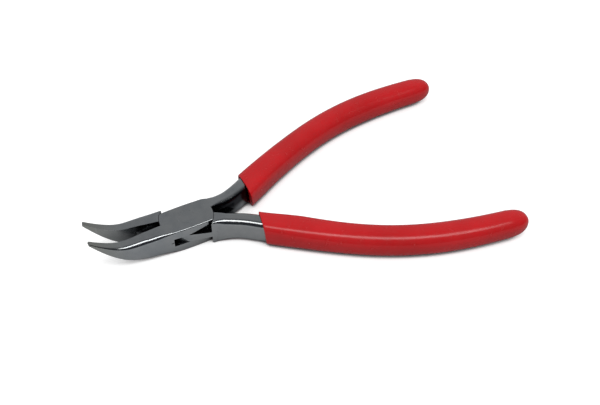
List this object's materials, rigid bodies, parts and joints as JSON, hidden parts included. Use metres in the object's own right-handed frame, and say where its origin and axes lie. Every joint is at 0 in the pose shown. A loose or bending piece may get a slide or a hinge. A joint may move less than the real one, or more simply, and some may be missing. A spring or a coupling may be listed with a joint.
{
  "type": "needle nose pliers",
  "caption": "Bent long-nose pliers with a box joint, smooth slim jaws turned up at the tips, and bowed handles in glossy vinyl sleeves; the jaws open and close on a pin.",
  "frame": {"origin": "on the pin's axis, at the flat underside of the box joint", "axes": "+Z along the pin, out of the top of the joint, which is also the way the nose bends; +X towards the handle ends, along the line midway between the two halves; the nose points to -X; +Y towards the slotted half's handle"},
  "size_m": [0.1307, 0.0774, 0.0131],
  "materials": {
    "forged_steel": "satin, fine ground",
    "pin_steel": "satin, fine ground",
    "vinyl": "gloss"
  },
  "bodies": {
    "slotted_side": {"slotted_half": "forged_steel", "joint_pin": "pin_steel", "slotted_half_grip": "vinyl"},
    "tongue_side": {"tongue_half": "forged_steel", "tongue_half_grip": "vinyl"}
  },
  "joints": [
    {"name": "jaw_pivot", "type": "hinge", "parent": "slotted_side", "child": "tongue_side", "pos_m": [0, 0, 0], "axis": [0, 0, 1], "range_deg": [-25, 13]}
  ]
}
